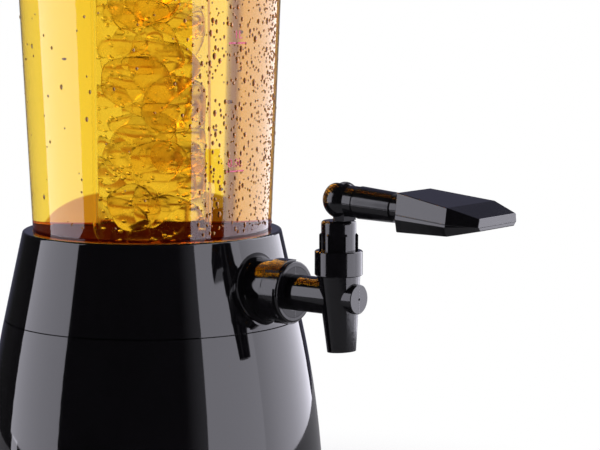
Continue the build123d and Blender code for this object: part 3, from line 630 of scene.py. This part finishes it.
def beads(turn, z, width, length, height, rows, columns):
    """Drops on the tube, all at once: points, faces and, for each point, a painted light value. A drop is
    a cap: at share s of its rise the outline is an ellipse of half axes width and length times sqrt(1 - s^2),
    drawn longer towards its lower end. The painted light goes from 0 at a drop's left to 1 at its right:
    painted shade on the left, a painted highlight on the right."""
    rise = np.sin(0.5 * math.pi * np.arange(rows) / rows)
    shrink = np.sqrt(1 - rise ** 2)
    around = 2 * math.pi * np.arange(columns) / columns
    across = np.outer(shrink, np.cos(around)).ravel()
    up = np.outer(shrink, np.sin(around)).ravel()
    up = np.where(up < 0, up * 1.25, up * 0.85)
    out = np.repeat(rise, columns)
    across, up, out = (np.append(a, b) for a, b in ((across, [0, 0]), (up, [0, 0]), (out, [0, 1])))
    place = on_tube(turn, z)[:, None]
    side = np.stack([-np.sin(turn), np.cos(turn), np.zeros_like(turn)], axis=-1)
    slope = 1 / math.hypot(1, TUBE_DRAFT)
    face = np.stack([
        np.cos(turn) * slope, np.sin(turn) * slope, np.full_like(turn, -TUBE_DRAFT * slope)
    ], axis=-1)
    upward = np.cross(face, side)
    points = (
        place + side[:, None] * (width[:, None] * across)[..., None]
        + upward[:, None] * (length[:, None] * up)[..., None]
        + face[:, None] * (height[:, None] * out - DROP_SINK)[..., None]
    )
    # Painted light: painted shade at each drop's left and a painted highlight at its right
    light = np.tile(np.clip(0.42 + 0.75 * across, 0, 1), len(turn))
    return points, many(capped(rows, columns), rows * columns + 2, len(turn)), light


class TOWER_OT_drops(bpy.types.Operator):
    """Set drops of condensation on the outside of the tube"""

    bl_idname = "tower.drops"
    bl_label = "Condensation"

    def execute(self, context):
        sizes = context.scene.tower_sizes
        rng = np.random.default_rng(21)
        low, high = RIM_Z + 3.0 * MM, sizes.beer_level - 4.0 * MM
        total = sizes.large_drops + sizes.fine_drops
        large = np.arange(total) < sizes.large_drops
        # About the middle of a lane, drops spread as a share q of them to log(q / (1 - q))
        shares = np.where(large[:, None], np.cumsum(LARGE_SHARES), np.cumsum(FINE_SHARES))
        lane = (rng.uniform(size=(total, 1)) > shares).sum(axis=1)
        q = rng.uniform(0.003, 0.997, total)
        middle, spread = LANES[:, lane]
        in_lane = lane < len(LARGE_SHARES)
        seen = np.where(in_lane, middle + spread * np.log(q / (1 - q)), 2 * math.pi * q)
        z = rng.uniform(low, high, total)
        # Half widths of 0.55 to 1.2 mm for large drops and 0.36 to 0.72 mm for fine ones, most near the least
        wide = 0.55 + 0.65 * rng.beta(0.9, 3.2, total)
        narrow = 0.36 + 0.36 * rng.beta(1.2, 2.0, total)
        width = np.where(large, wide, narrow) * MM
        length = width * np.where(large, rng.uniform(1.2, 1.7, total), rng.uniform(0.9, 1.3, total))
        height = width * rng.uniform(0.55, 0.75, total)
        # A drop that touches a wider one, or nearly does, has run into it
        across = tube_radius(z) * seen
        apart = np.hypot(
            (across[:, None] - across) / (width[:, None] + width),
            (z[:, None] - z) / (length[:, None] + length)
        )
        alone = ~np.any((apart < 1.1) & (width > width[:, None]), axis=1)
        water = self.water()
        for name, kind, rows, columns in (
            ("condensation_large", large, 3, 12), ("condensation_fine", ~large, 2, 7)
        ):
            own = alone & kind
            points, faces, light = beads(
                azimuth(seen[own]), z[own], width[own], length[own], height[own], rows, columns
            )
            made = mesh_piece(name, points, faces, water, "tower")
            # The painted light of each point is kept as the attribute side
            made.data.attributes.new("side", "FLOAT", "POINT").data.foreach_set("value", light)
        return {"FINISHED"}

    def water(self):
        """Condensed water over amber beer, with painted light: its colour runs from a dark brown painted shade
        at each drop's left to a pale painted highlight at its right, so it reads as a brown bead with a pale
        edge there."""
        water = clear("water_condensed", 1.33, 0.0, 10.0 * MM)
        # Painted shade and highlight: dark brown at a drop's left, pale at its right
        side = add(water.tree, "ShaderNodeAttribute", attribute_name="side").outputs["Fac"]
        painted_bead_shading = ramp(
            water.tree, side, (0.0, linear("#64341A")), (0.4, linear("#B87A3C")), (0.75, linear("#E6B470")),
            (1.0, linear("#FFF0D8"))
        )
        water.tree.links.new(painted_bead_shading, water.shade.inputs["Base Color"])
        water.shade.inputs["Transmission Weight"].default_value = 0.6
        return water.material


class TOWER_OT_scale(bpy.types.Operator):
    """Print the level marks on the tube"""

    bl_idname = "tower.scale"
    bl_label = "Level Marks"

    def execute(self, context):
        sizes = context.scene.tower_sizes
        # A flat drawing (x across, y up) is rolled onto the tube: x / r is its turn, y its height
        across = np.linspace(-0.5 * sizes.mark_width, 0.5 * sizes.mark_width, MARK_STEPS + 1)
        line = np.concatenate([
            np.stack([across, np.full_like(across, y), np.zeros_like(across)], axis=-1)
            for y in (-MARK_HALF, MARK_HALF)
        ])
        step = np.arange(MARK_STEPS)
        quads = np.stack([step, step + 1, step + MARK_STEPS + 2, step + MARK_STEPS + 1], axis=-1)
        flat, faces, count = [], [], 0
        for i, height in enumerate(MARK_HEIGHTS):
            letters, outlines = self.lettering(f"{0.5 * (i + 1):g}L")
            faces += [(count + one).tolist() for one in outlines]
            count += len(letters)
            faces += (count + quads).tolist()
            count += len(line)
            flat.append(np.concatenate([letters, line]) + [0, RIM_Z + height, 0])
        flat = np.concatenate(flat)
        turn = azimuth(np.array(sizes.mark_turn)) + flat[:, 0] / tube_radius(flat[:, 1])
        ink = self.ink(tuple(context.scene.tower_colours.print_pink))
        mesh_piece("level_marks", on_tube(turn, flat[:, 1], INK_THICKNESS), faces, ink, "tower")
        return {"FINISHED"}

    def lettering(self, text):
        """Flat letters above a level line: their points, and the points of each face."""
        curve = bpy.data.curves.new("level_text", "FONT")
        curve.body, curve.size, curve.align_x = text, LETTER_SIZE, "CENTER"
        holder = bpy.data.objects.new("level_text", curve)
        shape = bpy.data.meshes.new_from_object(holder)
        points = np.zeros(3 * len(shape.vertices))
        shape.vertices.foreach_get("co", points)
        corners = np.zeros(len(shape.loops), dtype=np.int32)
        shape.loops.foreach_get("vertex_index", corners)
        starts = np.zeros(len(shape.polygons), dtype=np.int32)
        shape.polygons.foreach_get("loop_start", starts)
        bpy.data.objects.remove(holder)
        bpy.data.curves.remove(curve)
        bpy.data.meshes.remove(shape)
        return points.reshape(-1, 3) + [0, LETTER_LIFT, 0], np.split(corners, starts[1:])

    def ink(self, pink):
        """Screen-printed ink: pinholes about 0.3 mm wide let the tube show through a little."""
        made, tree, out = blank("screen_ink_pink")
        place = add(tree, "ShaderNodeTexCoord").outputs["Object"]
        speck = add(tree, "ShaderNodeTexNoise", {
            "Vector": place, "Scale": 1.0 / (0.30303 * MM), "Detail": 2.0
        }).outputs[0]
        shade = add(tree, "ShaderNodeBsdfPrincipled", {
            "Base Color": ramp(tree, speck, (0.3, pink), (0.75, tuple(min(1.0, 1.3 * c) for c in pink))),
            "Roughness": 0.45,
        })
        tree.links.new(shade.outputs[0], out.inputs["Surface"])
        return made


def softbox(name, first, last, low, high, brightness, fade=None, tint="#F4F2FF"):
    """A soft lamp between two places, each an angle right of the camera in degrees and a distance, and two
    heights. With a fade (share, length), it comes up to its brightness from that share at its first end."""
    ends = [
        d * (math.cos(math.radians(t)) * TO_CAMERA + math.sin(math.radians(t)) * TO_RIGHT)
        for t, d in (first, last)
    ]
    middle, run = 0.5 * (ends[0] + ends[1]), ends[1] - ends[0]
    face = np.array([-run[1], run[0]])
    lamp = bpy.data.lights.new(name, "AREA")
    lamp.shape = "RECTANGLE"
    lamp.size, lamp.size_y = math.hypot(*run), high - low
    lamp.color = linear(tint)
    lamp.energy = math.pi * brightness * lamp.size * lamp.size_y
    if fade is not None:
        lamp.use_nodes = True
        tree = lamp.node_tree
        tree.nodes.clear()
        spot = add(tree, "ShaderNodeNewGeometry").outputs["Parametric"]
        along = add(tree, "ShaderNodeSeparateXYZ", {0: spot}).outputs["X"]
        rise = add(tree, "ShaderNodeMapRange", {
            "Value": along, "From Max": fade[1], "To Min": fade[0]
        }, interpolation_type="SMOOTHSTEP").outputs[0]
        glow = add(tree, "ShaderNodeEmission", {"Strength": rise}).outputs[0]
        tree.links.new(glow, add(tree, "ShaderNodeOutputLight").inputs["Surface"])
    made = bpy.data.objects.new(name, lamp)
    made.location = (*middle, 0.5 * (low + high))
    towards = face if face @ middle < 0 else -face
    made.rotation_euler = Vector((*towards, 0)).to_track_quat("-Z", "Y").to_euler()
    made.visible_camera = made.visible_transmission = False
    bpy.context.scene.collection.objects.link(made)
    return made


class TOWER_OT_stage(bpy.types.Operator):
    """Set up the floor, the backdrop, the lamps and the camera"""

    bl_idname = "tower.stage"
    bl_label = "Studio"

    def execute(self, context):
        scene = context.scene
        scene.view_settings.view_transform = "Standard"
        # Light crosses many faces of ice and bubbles
        scene.cycles.max_bounces = scene.cycles.transmission_bounces = 32
        self.floor()
        self.backdrop(scene)
        self.lamps()
        self.camera(scene)
        return {"FINISHED"}

    def lamps(self):
        """Banks of soft lamps round the tower."""
        # Two banks at the right that meet at a corner, with a dim edge towards the camera
        softbox("bank_edge", (20, 3.4), (36, 3.4), 0.0, 3.4, 0.4, fade=(0.0, 1.0))
        softbox("bank_near", (36, 3.4), (80, 3.3), -0.8, 3.4, 3.3)
        softbox("bank_side", (80, 3.3), (149, 3.8), -0.8, 3.4, 3.2, fade=(0.88, 0.3))
        # One bank at the left, with a narrow strip below it
        softbox("bank_left", (-112, 1.2), (-66, 1.2), -0.02, 1.05, 3.0)
        softbox("strip_left", (-110, 1.2), (-103, 1.2), -0.15, -0.02, 3.0)
        # A dim bank behind the tower, which shows through the beer and in no reflection
        back = softbox("bank_back", (112, 1.5), (196, 1.35), 0.105, 0.75, 0.22, tint="#FFF8EA")
        back.visible_glossy, back.visible_transmission = False, True
        # A bright lamp high behind the left side, which only the beer lets through
        glow = softbox("bank_amber", (-168, 1.7), (-92, 1.7), 0.75, 2.4, 4.2, tint="#FFCE9C")
        glow.visible_glossy = glow.visible_diffuse = False
        glow.visible_transmission = True

    def camera(self, scene):
        """A camera that looks along its yaw and its pitch, level across."""
        eye = bpy.data.cameras.new("camera")
        eye.sensor_width, eye.lens = CAMERA_SENSOR, CAMERA_LENS
        eye.clip_start, eye.clip_end = 0.05, 50.0
        camera = bpy.data.objects.new("camera", eye)
        level = math.cos(CAMERA_YAW) * -TO_CAMERA + math.sin(CAMERA_YAW) * TO_RIGHT
        look = Vector((*(math.cos(CAMERA_PITCH) * level), -math.sin(CAMERA_PITCH)))
        camera.location = CAMERA_PLACE
        camera.rotation_euler = look.to_track_quat("-Z", "Y").to_euler()
        scene.collection.objects.link(camera)
        scene.camera = camera

    def floor(self):
        """A pale disc under the feet that brightens to the backdrop's white away from the tower."""
        made, tree, out = blank("paper_pale_floor")
        place = add(tree, "ShaderNodeTexCoord").outputs["Object"]
        far = add(tree, "ShaderNodeVectorMath", {0: place}, operation="LENGTH").outputs["Value"]
        fade = add(tree, "ShaderNodeMapRange", {
            "Value": far, "From Min": 0.16, "From Max": 0.42
        }, interpolation_type="SMOOTHSTEP").outputs[0]
        path = add(tree, "ShaderNodeLightPath").outputs
        seen = add(tree, "ShaderNodeMath", {
            0: path["Is Camera Ray"], 1: path["Is Transmission Ray"]
        }, operation="MAXIMUM").outputs[0]
        share = add(tree, "ShaderNodeMath", {0: fade, 1: seen}, operation="MULTIPLY").outputs[0]
        # Paper: soft white with fibres in clumps of 2.5 mm, drawn coarser than they are so that they show
        fibre = add(tree, "ShaderNodeTexNoise", {
            "Vector": place, "Scale": 1.0 / (2.5 * MM), "Detail": 4.0
        }).outputs[0]
        paper = add(tree, "ShaderNodeBsdfPrincipled", {
            "Base Color": ramp(tree, fibre, (0.3, linear("#EDEDEC")), (0.7, linear("#F4F4F3"))),
            "Roughness": 0.7,
        }).outputs[0]
        white = add(tree, "ShaderNodeEmission", {"Strength": 1.0}).outputs[0]
        both = add(tree, "ShaderNodeMixShader", {0: share, 1: paper, 2: white}).outputs[0]
        # The mouldings reflect it much darker, as they do the rest of the room
        gloss = add(tree, "ShaderNodeMath", {
            0: path["Is Glossy Ray"], 1: path["Is Transmission Ray"]
        }, operation="SUBTRACT", use_clamp=True).outputs[0]
        dim = add(tree, "ShaderNodeMath", {0: gloss, 1: 0.6}, operation="MULTIPLY").outputs[0]
        shown = add(tree, "ShaderNodeMixShader", {0: dim, 1: both}).outputs[0]
        tree.links.new(shown, out.inputs["Surface"])
        radius, low, high = 0.75, -4.0 * MM, -0.2 * MM
        points, faces = turned([[0, low], [radius, low], [radius, high], [0, high]], 96)
        mesh = bpy.data.meshes.new("floor")
        mesh.from_pydata(points, [], faces)
        mesh.materials.append(made)
        floor = bpy.data.objects.new("floor", mesh)
        bpy.context.scene.collection.objects.link(floor)

    def backdrop(self, scene):
        """White all round for the camera and through glass, dark for what the mouldings reflect. Stops are
        shares of the way round, from behind the tower over the left, the camera and the right to behind it."""
        world = bpy.data.worlds.new("studio")
        scene.world = world
        world.use_nodes = True
        tree = world.node_tree
        tree.nodes.clear()
        way = add(tree, "ShaderNodeTexCoord").outputs["Generated"]
        ahead, right = [
            add(tree, "ShaderNodeVectorMath", {
                0: way, 1: (*line, 0.0)
            }, operation="DOT_PRODUCT").outputs["Value"]
            for line in (TO_CAMERA, TO_RIGHT)
        ]
        turn = add(tree, "ShaderNodeMapRange", {
            "Value": add(tree, "ShaderNodeMath", {0: right, 1: ahead}, operation="ARCTAN2").outputs[0],
            "From Min": -math.pi, "From Max": math.pi
        }).outputs[0]
        # Glossy rays: a dark room all round, so that only the lamps shine in the mouldings
        dusk, dim, dark = linear("#65657C"), linear("#303030"), linear("#1D1D1D")
        room = ramp(tree, turn, (0.0, dusk), (0.1, dim), (0.3, dark), (0.62, dark), (0.9, dim), (1.0, dusk))
        # Rays through the tube: white all round, but for a dark edge and a warm wall behind the left side
        edge = linear("#95736C")
        round_about = ramp(
            tree, turn, (0.0, 1.0), (0.048, 1.0), (0.052, edge), (0.06, edge), (0.064, linear("#EDC8B8")),
            (0.16, linear("#E1BCAA")), (0.3, linear("#E7E7E7")), (0.6, 1.0)
        )
        # Low behind the tower the wall ends in a brown skirting, darker to the left and pale again below
        brown, deep_brown = linear("#AD764B"), linear("#7C5030")
        skirting = ramp(
            tree, turn, (0.0, brown), (0.03, deep_brown), (0.05, deep_brown), (0.054, 1.0), (0.8, 1.0),
            (0.86, linear("#CE9059")), (1.0, brown)
        )
        slope = add(tree, "ShaderNodeMapRange", {
            "Value": add(tree, "ShaderNodeSeparateXYZ", {0: way}).outputs["Z"],
            "From Min": -0.145, "From Max": -0.061,
        }).outputs[0]
        within = ramp(tree, slope, (0.18, 0.0), (0.42, 1.0), (0.94, 1.0), (0.952, 0.0))
        low = add(tree, "ShaderNodeMixRGB", {"Fac": within, "Color1": WHITE, "Color2": skirting}).outputs[0]
        through = add(tree, "ShaderNodeVectorMath", {0: round_about, 1: low}, operation="MULTIPLY").outputs[0]
        path = add(tree, "ShaderNodeLightPath").outputs
        light = (*linear("#7C7C7C"), 1.0)
        for ray, shown in (
            ("Is Glossy Ray", room), ("Is Transmission Ray", through), ("Is Camera Ray", WHITE)
        ):
            light = add(tree, "ShaderNodeMixRGB", {
                "Fac": path[ray], "Color1": light, "Color2": shown
            }).outputs[0]
        shade = add(tree, "ShaderNodeBackground", {"Color": light, "Strength": 1.0})
        tree.links.new(shade.outputs[0], add(tree, "ShaderNodeOutputWorld").inputs["Surface"])


OPERATORS = (
    TOWER_OT_stage, TOWER_OT_mouldings, TOWER_OT_fittings, TOWER_OT_clear_tubes, TOWER_OT_beer, TOWER_OT_ice,
    TOWER_OT_drops, TOWER_OT_scale,
)


class TOWER_PT_panel(bpy.types.Panel):
    """Lists the steps and the settings of the tower"""

    bl_idname = "TOWER_PT_panel"
    bl_label = "Beer Tower"
    bl_space_type = "VIEW_3D"
    bl_region_type = "UI"
    bl_category = "Beer Tower"

    def draw(self, context):
        for step in OPERATORS:
            self.layout.operator(step.bl_idname)
        for group in (context.scene.tower_sizes, context.scene.tower_colours):
            box = self.layout.box()
            for name in group.__annotations__:
                box.prop(group, name)


CLASSES = (TowerSizes, TowerColours, *OPERATORS, TOWER_PT_panel)


def register():
    for one in CLASSES:
        bpy.utils.register_class(one)
    bpy.types.Scene.tower_sizes = bpy.props.PointerProperty(type=TowerSizes)
    bpy.types.Scene.tower_colours = bpy.props.PointerProperty(type=TowerColours)


def unregister():
    del bpy.types.Scene.tower_colours
    del bpy.types.Scene.tower_sizes
    for one in reversed(CLASSES):
        bpy.utils.unregister_class(one)


def main():
    register()
    for step in OPERATORS:
        group, name = step.bl_idname.split(".")
        getattr(getattr(bpy.ops, group), name)()


if __name__ == "__main__":
    main()
